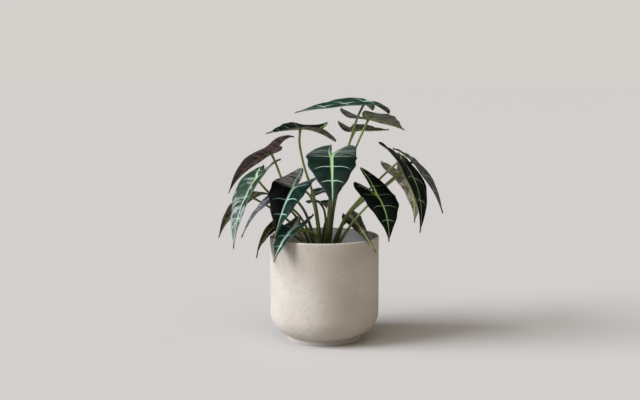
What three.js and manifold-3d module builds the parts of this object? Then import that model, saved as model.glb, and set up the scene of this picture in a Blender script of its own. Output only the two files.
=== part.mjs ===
// A potted alocasia: nineteen arrow-shaped leaves on long stalks, rooted in soil in a plain cylindrical pot.
// Millimetres, +Z up. The origin is the centre of the pot's foot, on the surface the pot stands on.
// -Y is the front of the plant, +X its right-hand side.
import * as THREE from 'three';
import { mergeVertices } from 'three/addons/utils/BufferGeometryUtils.js';
import Module from 'manifold-3d';

const wasm = await Module();
wasm.setup();

// Driving dimensions of the pot and its filling
const potRadius = 80;
const potHeight = 152.5;
const potWall = 5.5;
const potFloor = 12;
const footRadius = 54.5;
const footHeight = 6.8;
const cornerAcross = 34.6; // half axes of the quarter ellipse between foot and wall
const cornerUp = 35.8;
const lipRound = 1.2;
const soilTop = 128;
const soilMound = 3;
const gap = 0.3; // between pieces that touch

// Driving dimensions of the plant
const stalkFoot = 120; // height of the stalks' lower ends, in the soil
const stalkRadiusLow = 2.7;
const stalkRadiusHigh = 1.7;
const stalkSides = 6;
const stalkSteps = 7;
const bladeThickness = 0.8;
const midribDepth = 1.1; // how far the midrib stands out below the blade
const innerRing = 6.5; // the stalks stand in two rings on the rootstock
const outerRing = 13.5;

// Every leaf starts from these proportions. Lengths are shares of the blade's length from the
// stalk to the drip tip, and angles are in degrees.
const usualLeaf = {
  halfWidth: 0.36,
  lobe: 0.36, // length of the two rear lobes
  spread: 0.2, // how far each lobe's tip stands off the middle
  sinus: 0.13, // where the notch between the lobes ends, behind the stalk
  leftLobe: 1, // share of the lobe's length on each side
  rightLobe: 1,
  taper: 1.55, // how soon the blade narrows to the drip tip
  fold: 20, // how far each half rises beside the midrib
  curl: 30, // how far it turns back down towards the margin
  arch: 40, // how far the midrib turns down from stalk to tip
  lobeDroop: 30, // how far the lobes turn down behind the stalk
  leftDroop: 1, // share of that droop on each side
  rightDroop: 1,
  swing: 0, // sideways bend of the lobes
  roll: 0, // turn of the whole blade about its midrib
  skew: 0, // sideways bend of the midrib
  wave: 0.012,
};

// stalk: where the stalk joins the blade, tip: the drip tip, via: points on the stalk,
// ring and angle: where the stalk's foot stands. Listed from the top of the plant down.
const leaves = [
  { stalk: [58, 0, 347], tip: [-42, -50, 333], roll: -5, halfWidth: 0.33, arch: 9, fold: 8, curl: 12,
    lobe: 0.28, lobeDroop: 65, ring: innerRing, angle: -25, via: [[10, 5, 196], [35, 12, 281], [48, -1.5, 325]] },
  { stalk: [64, 15, 322], tip: [123, 83, 302], roll: -5, halfWidth: 0.34, arch: 14, fold: 13, curl: 10,
    lobe: 0.46, rightLobe: 0.8, lobeDroop: -28, rightDroop: 0.6,
    ring: innerRing, angle: 25, via: [[18, 10, 211], [47, 19, 282]] },
  { stalk: [-35, 0, 308], tip: [-83, -33, 303], roll: -5, halfWidth: 0.38, arch: 12, fold: 22, curl: 10,
    lobe: 0.8, spread: 0.18, sinus: 0.25, leftLobe: 1.15, rightLobe: 1.1, lobeDroop: 38, rightDroop: -0.3,
    swing: -0.1, taper: 1.7, ring: innerRing, angle: 130, via: [[-13, 3, 198], [-31, 1, 260], [-36, 0, 289]] },
  { stalk: [46, 40, 306], tip: [99, 78, 303], roll: -14, halfWidth: 0.3, arch: -10, wave: 0.025,
    lobe: 0.4, rightLobe: 0.5, lobeDroop: -45, rightDroop: 0.3,
    ring: innerRing, angle: 77, via: [[11, 19, 195], [35, 35, 280]] },
  { stalk: [-79, 20, 273], tip: [-143, 31, 210], roll: 12, arch: 45, leftLobe: 1.4, rightLobe: 0.42,
    lobeDroop: -50, leftDroop: 0,
    ring: outerRing, angle: 145, via: [[-27, 12, 182], [-59, 10, 227], [-72, 17, 258]] },
  { stalk: [10, -40, 270], tip: [11, -118, 211], halfWidth: 0.35, arch: 45, fold: 8, curl: 12,
    lobe: 0.43, spread: 0.13, sinus: 0.12, lobeDroop: -5, swing: -0.13, taper: 1.3,
    ring: innerRing, angle: 284, via: [[7, -23, 200], [9, -34, 244]] },
  { stalk: [110, -15, 265], tip: [133, -70, 166], roll: -38, halfWidth: 0.32, arch: 52, fold: 12, curl: 20,
    lobe: 0.32, leftLobe: 0.55, rightLobe: 0.85, spread: 0.17, lobeDroop: 20,
    ring: outerRing, angle: -30, via: [[30, -19, 181], [84, -2, 239]] },
  { stalk: [130, 22, 259], tip: [171, -20, 187], roll: -24, halfWidth: 0.3, arch: 26, lobe: 0.3,
    ring: outerRing, angle: -3, via: [[32, -12, 181], [89, 7, 226]] },
  { stalk: [116, 56, 239], tip: [138, 72, 160], roll: -10, halfWidth: 0.3, arch: 85, skew: -0.1, lobeDroop: 5,
    ring: outerRing, angle: 24, via: [[36, 0, 187], [94, 42, 222]] },
  { stalk: [-97, -25, 238], tip: [-126, -80, 145], roll: 28, halfWidth: 0.265, arch: 35, fold: 18, curl: 10,
    lobe: 0.32, ring: outerRing, angle: 199, via: [[-43, -5, 183], [-80, -17, 217]] },
  { stalk: [-44, -40, 225], tip: [-67, -103, 165], roll: 0, halfWidth: 0.33, arch: 35, fold: 30, curl: 20, lobe: 0.32,
    leftLobe: 0.85, rightLobe: 1.35, rightDroop: -0.5, swing: -0.12,
    ring: innerRing, angle: 232, via: [[-17, -31, 207], [-28, -37, 222]] },
  { stalk: [-74, 12, 208], tip: [-123, 19, 145], roll: -14, halfWidth: 0.27, arch: 35, leftLobe: 0.5,
    ring: innerRing, angle: 180, via: [[-36, 5, 180], [-60, 10, 200]] },
  { stalk: [74, -44, 216], tip: [89, -88, 156], roll: -2, halfWidth: 0.33, arch: 58, fold: 12, curl: 15,
    lobe: 0.48, leftLobe: 1.3, rightLobe: 0.7, lobeDroop: -45, swing: 0.18, skew: -0.08,
    ring: outerRing, angle: -58, via: [[42, -34, 178]] },
  { stalk: [3, 46, 213], tip: [16, 116, 188], halfWidth: 0.28, lobe: 0.4, rightLobe: 0.5,
    ring: outerRing, angle: 106, via: [[1, 21, 165], [16, 32, 196]] },
  { stalk: [-109, 45, 204], tip: [-161, 55, 139], roll: 14, halfWidth: 0.32, arch: 45,
    lobe: 0.44, leftLobe: 0.8, lobeDroop: 70, ring: outerRing, angle: 172, via: [[-54, 30, 170], [-88, 47, 191]] },
  { stalk: [-7, 40, 197], tip: [4, 84, 181], halfWidth: 0.38, arch: 30, lobe: 0.6, lobeDroop: 10,
    ring: outerRing, angle: 78, via: [[0, 36, 184]] },
  { stalk: [-42, -42, 168], tip: [-70, -84, 127], roll: 10, halfWidth: 0.32, arch: 35, fold: 30,
    lobe: 0.5, rightLobe: 0.95, lobeDroop: 0, ring: outerRing, angle: 252, via: [[-13, -28, 158]] },
  { stalk: [39, 25, 176], tip: [73, -70, 137], roll: 30, halfWidth: 0.108, arch: 60, lobe: 0.26,
    lobeDroop: -20, sinus: 0.08, spread: 0.05, ring: outerRing, angle: 51, via: [[22, 18, 158]] },
  { stalk: [-72, -14, 168], tip: [-96, -50, 127], roll: 62, halfWidth: 0.3, arch: 40, lobe: 0.26, lobeDroop: 50,
    ring: outerRing, angle: 225, via: [[-34, -12, 147]] },
];

const finish = {
  pot: { color: 0xcfc6bb, roughness: 0.85 },
  soil: { color: 0x3b2c22, roughness: 0.95 },
  rootstock: { color: 0x6b5a3e, roughness: 0.8 },
  blade: { color: 0x1f4035, roughness: 0.45 },
  stalk: { color: 0x74803c, roughness: 0.5 },
};

const part = new THREE.Group();

function addPiece(name, geometry, look) {
  geometry.computeVertexNormals();
  const mesh = new THREE.Mesh(geometry, new THREE.MeshStandardMaterial({ ...look, metalness: 0 }));
  mesh.name = name;
  part.add(mesh);
}

// A closed geometry as a solid for joining and cutting
function toSolid(geometry) {
  geometry.deleteAttribute('normal');
  geometry.deleteAttribute('uv');
  const merged = mergeVertices(geometry, 1e-4);
  const corners = merged.index.array;
  const kept = [];
  for (let i = 0; i < corners.length; i += 3) {
    const [a, b, c] = corners.slice(i, i + 3);
    if (a !== b && b !== c && c !== a) kept.push(a, b, c);
  }
  return new wasm.Manifold(new wasm.Mesh({
    numProp: 3,
    vertProperties: merged.attributes.position.array,
    triVerts: new Uint32Array(kept),
  }));
}

function toGeometry(solid) {
  const mesh = solid.getMesh();
  const geometry = new THREE.BufferGeometry();
  geometry.setAttribute('position', new THREE.BufferAttribute(mesh.vertProperties, 3));
  geometry.setIndex(new THREE.BufferAttribute(mesh.triVerts, 1));
  return geometry;
}

// A profile of [radius, height] points turned about the Z axis
function turned(profile, sides) {
  const points = profile.map(([radius, height]) => new THREE.Vector2(radius, height));
  return new THREE.LatheGeometry(points, sides).rotateX(Math.PI / 2);
}

function degrees(angle) {
  return THREE.MathUtils.degToRad(angle);
}

// Pot: a recessed foot disc, an elliptical corner, a straight wall and a thin rounded lip
function potProfile() {
  const cornerSteps = 6;
  const profile = [[0, 0], [footRadius, 0], [footRadius, footHeight]];
  const centreRadius = potRadius - cornerAcross;
  const startAngle = Math.acos((footRadius - centreRadius) / cornerAcross);
  const startSink = cornerUp * Math.sin(startAngle);
  for (let i = 1; i <= cornerSteps; i += 1) {
    const angle = startAngle * (1 - i / cornerSteps);
    profile.push([
      centreRadius + cornerAcross * Math.cos(angle),
      footHeight + startSink - cornerUp * Math.sin(angle),
    ]);
  }
  const innerRadius = potRadius - potWall;
  profile.push([potRadius, potHeight - lipRound], [potRadius - lipRound, potHeight]);
  profile.push([innerRadius + lipRound, potHeight], [innerRadius, potHeight - lipRound]);
  profile.push([innerRadius, footHeight + startSink]);
  for (let i = 1; i <= cornerSteps / 2; i += 1) {
    const angle = (Math.PI / 2) * (i / (cornerSteps / 2));
    profile.push([
      innerRadius - cornerAcross * (1 - Math.cos(angle)),
      footHeight + startSink - (footHeight + startSink - potFloor) * Math.sin(angle),
    ]);
  }
  profile.push([0, potFloor]);
  return profile;
}

// Inside the pot: the radius that the soil may fill at a height
function soilProfile() {
  const wall = potRadius - potWall - gap;
  const inside = potProfile().slice(-6, -1).reverse();
  const profile = [[0, potFloor + gap]];
  for (const [radius, height] of inside) profile.push([radius - gap, height + gap]);
  profile.push([wall, soilTop - 1]);
  profile.push([wall * 0.8, soilTop + soilMound * 0.3]);
  profile.push([wall * 0.6, soilTop + soilMound * 0.5]);
  profile.push([wall * 0.4, soilTop + soilMound * 0.8]);
  profile.push([wall * 0.2, soilTop + soilMound * 0.9]);
  profile.push([0, soilTop + soilMound]);
  return profile;
}

// Crumbly top: the soil's upper face rises and falls in a few overlapping ripples
function crumble(geometry) {
  const position = geometry.attributes.position;
  for (let i = 0; i < position.count; i += 1) {
    const x = position.getX(i);
    const y = position.getY(i);
    const z = position.getZ(i);
    const inset = 1 - Math.hypot(x, y) / (potRadius - potWall - gap);
    if (z < soilTop || inset < 0.02) continue;
    position.setZ(i, z + 1.3 * Math.sin(x * 0.31 + 1.1) * Math.cos(y * 0.27) + 0.8 * Math.sin(x * 0.13 - y * 0.44));
  }
  return geometry;
}

// The rootstock lies in the soil under the stalks' feet, with its growing point between them
function rootstockProfile(grow) {
  return [
    [0, 84 - grow], [8 + grow, 86 - grow], [15 + grow, 94], [17.5 + grow, 106], [17.5 + grow, 116],
    [16.5 + grow, stalkFoot - gap], [3.2 + grow, stalkFoot - gap], [2.6 + grow, stalkFoot + 4 + grow],
    [0, stalkFoot + 6 + grow],
  ];
}

// An arc of a given length whose heading turns evenly from one angle to another
function alongArc(length, startAngle, endAngle) {
  const turn = endAngle - startAngle;
  if (Math.abs(turn) < 1e-6) return [length * Math.cos(startAngle), length * Math.sin(startAngle)];
  const radius = length / turn;
  return [
    radius * (Math.sin(endAngle) - Math.sin(startAngle)),
    radius * (Math.cos(startAngle) - Math.cos(endAngle)),
  ];
}

// Places along a blade: 0 is the stalk, 1 the drip tip, and negative values lie in the lobes.
// The three pairs of side veins leave the midrib every veinStep.
const veinStep = 0.3;
const veinSweep = 0.16; // how far forward a side vein has run when it meets the margin
const acrossSteps = [0, 0.09, 0.38, 0.72, 1];
const lobeSteps = 5;

function lobeLength(leaf, side) {
  return leaf.lobe * (side > 0 ? leaf.rightLobe : leaf.leftLobe);
}

function outerEdge(leaf, s, lobe) {
  if (s < 0) {
    const back = Math.min(1, -s / lobe);
    return leaf.spread + (leaf.halfWidth - leaf.spread) * Math.max(0, 1 - back ** 2.4) ** 0.5;
  }
  const left = Math.max(0, 1 - s);
  const scallop = 1 - 0.035 * Math.cos((2 * Math.PI * (s - veinSweep)) / veinStep);
  return leaf.halfWidth * left ** leaf.taper * (1 + (leaf.taper + 0.25) * s) * scallop;
}

function innerEdge(leaf, s, lobe) {
  if (s >= -leaf.sinus) return 0;
  const back = Math.min(1, (-s - leaf.sinus) / (lobe - leaf.sinus));
  return leaf.spread * (1 - (1 - back) ** 0.65);
}

// A point of the blade's middle surface in the leaf's own axes: x across, y along, z up from it
function bladePoint(leaf, s, u, side) {
  const bend = degrees(leaf.arch);
  const length = Math.abs(bend) < 1e-3 ? leaf.chord : (leaf.chord * bend) / 2 / Math.sin(bend / 2);
  const lobe = lobeLength(leaf, side);
  const swept = s < 0 ? s : s + veinSweep * u * u * (1 - s) * Math.min(1, (s + 0.02) * 6);
  const inner = innerEdge(leaf, swept, lobe);
  const outer = outerEdge(leaf, swept, lobe);
  const across = (inner + u * (outer - inner)) * length;
  const widest = leaf.halfWidth * length;

  // along: the midrib turns down evenly, and the lobes turn down behind the stalk
  let heading = bend * (0.5 - swept);
  let [along, rise] = alongArc(Math.max(swept, 0) * length, bend / 2, heading);
  if (swept < 0) {
    const behindNotch = Math.max(0, (-swept - leaf.sinus) / (lobe - leaf.sinus));
    const share = 1 + ((side > 0 ? leaf.rightDroop : leaf.leftDroop) - 1) * behindNotch;
    heading = bend / 2 + degrees(leaf.lobeDroop) * share * (-swept / leaf.lobe);
    [along, rise] = alongArc(-swept * length, bend / 2, heading).map((value) => -value);
  }

  // across: each half rises from the midrib and curls back towards its margin
  const fold = degrees(leaf.fold * (swept < 0 ? 1 : 1 - 0.3 * swept));
  let [x, height] = alongArc(across, fold, fold - (degrees(leaf.curl) * across) / widest);

  // relief: cushions between the side veins, and a waved margin
  const beat = (2 * Math.PI * s) / veinStep;
  const cushion = s < 0 ? 0.5 - 0.5 * Math.cos((2 * Math.PI * s) / (leaf.lobe * 0.5)) : 0.5 - 0.5 * Math.cos(beat);
  height += 0.016 * length * cushion * 4 * u * (1 - u) * Math.min(1, (1 - s) * 2);
  height += leaf.wave * length * Math.sin(beat * 0.5 + side) * (across / widest) ** 2;

  x = side * x + leaf.skew * length * swept * (1 - swept);
  if (swept < 0) x += leaf.swing * length * (swept / leaf.lobe) ** 2;
  return new THREE.Vector3(x, along - height * Math.sin(heading), rise + height * Math.cos(heading));
}

// The leaf's own axes: y runs from the stalk to the drip tip, z is its upper side, turned by roll
function leafAxes(leaf) {
  const origin = new THREE.Vector3(...leaf.stalk);
  const forward = new THREE.Vector3(...leaf.tip).sub(origin).normalize();
  const upright = new THREE.Vector3(0, 0, 1).addScaledVector(forward, -forward.z).normalize();
  const upper = upright.applyAxisAngle(forward, degrees(leaf.roll));
  const right = new THREE.Vector3().crossVectors(forward, upper);
  return new THREE.Matrix4().makeBasis(right, forward, upper).setPosition(origin);
}

// The blade's middle surface: two halves that share the midrib from the notch to the drip tip
function bladeSheet(leaf) {
  const axes = leafAxes(leaf);
  const points = [];
  const ridges = [];
  const numbers = new Map();
  const corners = [];
  const lengthwise = [];
  for (let s = 0; s < 0.97; s += veinStep / 3) lengthwise.push(s);
  lengthwise.push(1);

  for (const side of [-1, 1]) {
    const lobe = lobeLength(leaf, side);
    const rows = [];
    for (let i = 0; i < lobeSteps; i += 1) {
      rows.push(-leaf.sinus - (lobe - leaf.sinus) * (1 - (i / lobeSteps) ** 1.8));
    }
    rows.push(-leaf.sinus, ...lengthwise);
    const numberOf = (row, column) => {
      const s = rows[row];
      const atTip = row === 0 || row === rows.length - 1;
      const u = atTip ? 0 : acrossSteps[column];
      const onMidrib = u === 0 && row >= lobeSteps;
      const key = `${onMidrib ? 'midrib' : side} ${row} ${u}`;
      if (!numbers.has(key)) {
        numbers.set(key, points.length);
        points.push(bladePoint(leaf, s, u, side).applyMatrix4(axes));
        ridges.push(onMidrib ? 1 - 0.8 * Math.max(0, s) : 0);
      }
      return numbers.get(key);
    };
    for (let row = 0; row + 1 < rows.length; row += 1) {
      for (let column = 0; column + 1 < acrossSteps.length; column += 1) {
        const a = numberOf(row, column);
        const b = numberOf(row, column + 1);
        const c = numberOf(row + 1, column + 1);
        const d = numberOf(row + 1, column);
        for (const face of [[a, b, c], [a, c, d]]) {
          if (new Set(face).size < 3) continue;
          corners.push(...(side > 0 ? face : face.reverse()));
        }
      }
    }
  }
  const sheet = new THREE.BufferGeometry().setFromPoints(points);
  sheet.setIndex(corners);
  sheet.computeVertexNormals();
  return { sheet, ridges };
}

// A sheet given its thickness: both faces are split into the same triangles
function thicken({ sheet, ridges }) {
  const position = sheet.attributes.position;
  const normal = sheet.attributes.normal;
  const corners = sheet.index.array;
  const count = position.count;
  const points = [];
  for (const sign of [1, -1]) {
    for (let i = 0; i < count; i += 1) {
      const ridge = sign < 0 ? midribDepth * ridges[i] : 0;
      points.push(new THREE.Vector3().fromBufferAttribute(normal, i)
        .multiplyScalar(sign * (bladeThickness / 2 + ridge))
        .add(new THREE.Vector3().fromBufferAttribute(position, i)));
    }
  }
  const faces = [];
  const openEdges = new Map();
  for (let i = 0; i < corners.length; i += 3) {
    const [a, b, c] = corners.slice(i, i + 3);
    faces.push(a, b, c, c + count, b + count, a + count);
    for (const [from, to] of [[a, b], [b, c], [c, a]]) {
      if (openEdges.has(`${to} ${from}`)) openEdges.delete(`${to} ${from}`);
      else openEdges.set(`${from} ${to}`, [from, to]);
    }
  }
  for (const [from, to] of openEdges.values()) {
    faces.push(to, from, from + count, to, from + count, to + count);
  }
  const geometry = new THREE.BufferGeometry().setFromPoints(points);
  geometry.setIndex(faces);
  return geometry;
}

// The stalk's line: up out of the rootstock, through its points, to just past the blade's underside
function stalkLine(leaf, sink) {
  const foot = new THREE.Vector3(
    leaf.ring * Math.cos(degrees(leaf.angle)),
    leaf.ring * Math.sin(degrees(leaf.angle)),
    stalkFoot - sink,
  );
  const points = [foot, ...leaf.via.map((point) => new THREE.Vector3(...point)), new THREE.Vector3(...leaf.stalk)];
  return new THREE.CatmullRomCurve3(points, false, 'centripetal');
}

// A closed tube along a line, from a cylinder whose rings are laid across the line
function stalkTube(line, grow) {
  const frames = line.computeFrenetFrames(stalkSteps);
  const geometry = new THREE.CylinderGeometry(1, 1, 1, stalkSides, stalkSteps);
  const position = geometry.attributes.position;
  for (let i = 0; i < position.count; i += 1) {
    const t = position.getY(i) + 0.5;
    const ring = Math.round(t * stalkSteps);
    const radius = THREE.MathUtils.lerp(stalkRadiusLow, stalkRadiusHigh, Math.min(1, t * 1.4)) + grow;
    const point = line.getPointAt(Math.min(1, ring / stalkSteps))
      .addScaledVector(frames.normals[ring], position.getX(i) * radius)
      .addScaledVector(frames.binormals[ring], -position.getZ(i) * radius);
    position.setXYZ(i, point.x, point.y, point.z);
  }
  return geometry;
}

// The foot is cut level on the rootstock, and the upper end flat just below the midrib, square to the blade
function trimStalk(stalk, leaf) {
  const across = new THREE.Vector3(1, 0, 0);
  const under = new THREE.Vector3(0, -Math.sin(degrees(leaf.arch / 2)), Math.cos(degrees(leaf.arch / 2)));
  const turn = new THREE.Matrix4().makeBasis(across, new THREE.Vector3().crossVectors(under, across), under);
  const size = 30;
  const drop = bladeThickness / 2 + midribDepth + 2 * gap;
  const block = new THREE.BoxGeometry(size, size, size).translate(0, 0, size / 2 - drop);
  block.applyMatrix4(turn).applyMatrix4(leafAxes(leaf));
  const ground = new THREE.BoxGeometry(2 * size, 2 * size, size).translate(0, 0, stalkFoot - size / 2);
  return stalk.subtract(toSolid(block)).subtract(toSolid(ground));
}

addPiece('pot', toGeometry(toSolid(turned(potProfile(), 48))), finish.pot);
addPiece('rootstock', toGeometry(toSolid(turned(rootstockProfile(0), 14))), finish.rootstock);

let soil = toSolid(crumble(turned(soilProfile(), 24))).subtract(toSolid(turned(rootstockProfile(gap), 14)));
leaves.forEach((given, index) => {
  const leaf = { ...usualLeaf, ...given };
  leaf.chord = new THREE.Vector3(...leaf.stalk).distanceTo(new THREE.Vector3(...leaf.tip));
  const number = String(index + 1).padStart(2, '0');
  const stalk = trimStalk(toSolid(stalkTube(stalkLine(leaf, 1), 0)), leaf);
  soil = soil.subtract(toSolid(stalkTube(stalkLine(leaf, 1), gap)));
  addPiece(`blade_${number}`, thicken(bladeSheet(leaf)), finish.blade);
  addPiece(`stalk_${number}`, toGeometry(stalk), finish.stalk);
});
addPiece('soil', toGeometry(soil), finish.soil);

export default part;
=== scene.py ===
import math
import random

import bmesh
import bpy
from mathutils import Matrix, Vector, noise


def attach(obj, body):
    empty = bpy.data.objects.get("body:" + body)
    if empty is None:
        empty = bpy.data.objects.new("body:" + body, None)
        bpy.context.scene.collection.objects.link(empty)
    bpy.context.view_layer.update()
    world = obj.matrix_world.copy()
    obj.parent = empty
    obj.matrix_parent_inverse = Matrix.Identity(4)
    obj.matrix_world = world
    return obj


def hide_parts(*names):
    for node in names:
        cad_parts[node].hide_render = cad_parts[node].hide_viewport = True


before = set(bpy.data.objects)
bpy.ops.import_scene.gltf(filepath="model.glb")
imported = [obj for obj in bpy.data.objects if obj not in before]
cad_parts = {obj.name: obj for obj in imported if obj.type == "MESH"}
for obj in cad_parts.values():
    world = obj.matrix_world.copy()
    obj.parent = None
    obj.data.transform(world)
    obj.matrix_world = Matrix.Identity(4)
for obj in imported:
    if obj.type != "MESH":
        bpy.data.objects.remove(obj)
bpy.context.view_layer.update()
scene = bpy.context.scene
mm = 0.001  # the settings of the pieces are in millimetres
print("frame loaded")

# Lengths are in metres, the lens and its sensor in millimetres and the pitch in radians
view = {
    "distance": 1.464, "height": 0.381, "pitch": 0.120, "reach": 50, "lens": 56.76, "sensor": 36, "shift": -0.0068,
}
lens = bpy.data.cameras.new("camera")
lens.lens = view["lens"]
lens.sensor_width = view["sensor"]
lens.shift_x = view["shift"]
lens.clip_end = view["reach"]
camera = bpy.data.objects.new("camera", lens)
camera.location = (0, -view["distance"], view["height"])
camera.rotation_euler = (math.pi / 2 - view["pitch"], 0, 0)
scene.collection.objects.link(camera)
scene.camera = camera

# Degrees and watts per square metre. The sky is seen brighter than it lights, so that dark leaves stay dark
lamps = {
    "key": {"turn": -76, "height": 30, "spread": 36, "power": 5.1, "color": (0.955, 0.995, 1.10)},
    "top": {"turn": -35, "height": 62, "spread": 60, "power": 1.15, "color": (0.985, 0.99, 1.0)},
    "fill": {"turn": 78, "height": 15, "spread": 120, "power": 0.75, "color": (1.0, 0.80, 0.52)},
}
skyLook = {"color": (0.659, 0.634, 0.604), "seen": 1.0, "light": 0.37}


# A wide sun lamp; turn is measured from the camera's side of the pot, to the left when negative
def addLight(name, given):
    lamp = bpy.data.lights.new(name, "SUN")
    lamp.angle = math.radians(given["spread"])
    lamp.energy = given["power"]
    lamp.color = given["color"]
    turn, height = math.radians(given["turn"]), math.radians(given["height"])
    source = Vector((math.sin(turn) * math.cos(height), -math.cos(turn) * math.cos(height), math.sin(height)))
    lampObject = bpy.data.objects.new(name, lamp)
    lampObject.location = source * 3  # clear of the plant; only its direction matters
    lampObject.rotation_euler = source.to_track_quat("Z", "Y").to_euler()
    scene.collection.objects.link(lampObject)


for lampName, given in lamps.items():
    addLight(lampName, given)
scene.view_settings.view_transform = "Standard"
world = bpy.data.worlds.new("studio")
scene.world = world
world.use_nodes = True
sky = world.node_tree.nodes["Background"]
sky.inputs["Color"].default_value = (*skyLook["color"], 1)
path = world.node_tree.nodes.new("ShaderNodeLightPath")
seen = world.node_tree.nodes.new("ShaderNodeMapRange")
seen.inputs["To Min"].default_value = skyLook["light"]
seen.inputs["To Max"].default_value = skyLook["seen"]
world.node_tree.links.new(path.outputs["Is Camera Ray"], seen.inputs["Value"])
world.node_tree.links.new(seen.outputs[0], sky.inputs["Strength"])
print("camera and lights placed")


def newMaterial(name):
    material = bpy.data.materials.new(name)
    material.use_nodes = True
    return material, material.node_tree, material.node_tree.nodes["Principled BSDF"]


def addNode(tree, kind, **values):
    node = tree.nodes.new(kind)
    for key, value in values.items():
        setattr(node, key, value)
    return node


# A socket takes another node's output, a colour or a plain value
def feed(tree, socket, value):
    if isinstance(value, bpy.types.NodeSocket):
        tree.links.new(value, socket)
    elif socket.type == "RGBA":
        socket.default_value = (*value, 1)
    else:
        socket.default_value = value


def feedNode(tree, node, inputs):
    for label, value in inputs.items():
        feed(tree, node.inputs[label], value)
    return node.outputs


def makeNode(tree, kind, inputs, **values):
    return feedNode(tree, addNode(tree, kind, **values), inputs)


def mathNode(tree, operation, *values):
    node = addNode(tree, "ShaderNodeMath", operation=operation)
    for socket, value in zip(node.inputs, values):
        feed(tree, socket, value)
    return node.outputs[0]


def multiply(tree, first, second):
    return mathNode(tree, "MULTIPLY", first, second)


def oneMinus(tree, value):
    return mathNode(tree, "SUBTRACT", 1.0, value)


def vectorNode(tree, operation, *values):
    node = addNode(tree, "ShaderNodeVectorMath", operation=operation)
    for socket, value in zip(node.inputs, values):
        feed(tree, socket, value)
    return node.outputs["Value" if operation == "LENGTH" else "Vector"]


def separate(tree, vector):
    return makeNode(tree, "ShaderNodeSeparateXYZ", {"Vector": vector})


def blendColor(tree, factor, first, second):
    node = addNode(tree, "ShaderNodeMix", data_type="RGBA")
    for socket, value in ((node.inputs["Factor"], factor), (node.inputs[6], first), (node.inputs[7], second)):
        feed(tree, socket, value)
    return node.outputs[2]


def rangeNode(tree, value, low, high, outLow=0.0, outHigh=1.0):
    inputs = {"Value": value, "From Min": low, "From Max": high, "To Min": outLow, "To Max": outHigh}
    return makeNode(tree, "ShaderNodeMapRange", inputs, interpolation_type="SMOOTHSTEP")[0]


def objectPlace(tree):
    return addNode(tree, "ShaderNodeTexCoord").outputs["Object"]


# Inputs with a number are floats and the others vectors; every output is a float
def newGroup(name, inputs, outputs):
    group = bpy.data.node_groups.new(name, "ShaderNodeTree")
    for label, value in inputs.items():
        kind = "NodeSocketVector" if value is None else "NodeSocketFloat"
        socket = group.interface.new_socket(name=label, in_out="INPUT", socket_type=kind)
        if value is not None:
            socket.default_value = value
    for label in outputs:
        group.interface.new_socket(name=label, in_out="OUTPUT", socket_type="NodeSocketFloat")
    return group, group.nodes.new("NodeGroupInput").outputs, group.nodes.new("NodeGroupOutput")


def useGroup(tree, group, inputs):
    return makeNode(tree, "ShaderNodeGroup", inputs, node_tree=group)


# Speckle: two sizes of soft noise, used by every material for mottling and fine relief
def makeSpeckle():
    group, given, made = newGroup("speckle", {"Place": None, "Scale": 40.0, "Detail": 3.0}, ("Broad", "Fine"))
    place, scale = given["Place"], given["Scale"]
    broad = makeNode(group, "ShaderNodeTexNoise", {"Vector": place, "Scale": scale, "Detail": given["Detail"]})
    fineScale = multiply(group, scale, 9.0)
    fine = makeNode(group, "ShaderNodeTexNoise", {"Vector": place, "Scale": fineScale, "Detail": 4})
    feedNode(group, made, {"Broad": broad["Fac"], "Fine": fine["Fac"]})
    return group


# Ways along the blade and off a rib are shares of its length; ways across run from 0 at the midrib to 1 at the margin
veinStep = 0.3  # between pairs of side veins
veinSweep = 0.16  # how far forward a side vein has run when it meets the margin
veinShape = {
    "mainTaper": (1.2, 0.35),  # share of the main rib's width at the stalk and at the drip tip
    "lobeTaper": 0.35, "lobeEnd": -0.45, "mainFade": 1.7, "mainEnds": (0.84, 0.97), "mainAtTip": 0.15,
    "wobble": 0.02, "sideTaper": (1.3, 0.3), "sideFade": 2.0, "sideEnds": (0.62, 0.93), "lastSide": (0.76, 0.84),
    "haloMain": 0.07, "haloMainShare": 0.8, "haloSide": 0.035, "net": (9, 26, 1), "netEdge": (0.02, 0.16),
    "margin": (0.955, 0.985), "junctionLength": 0.12, "junctionWidth": 0.04,
}


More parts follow.
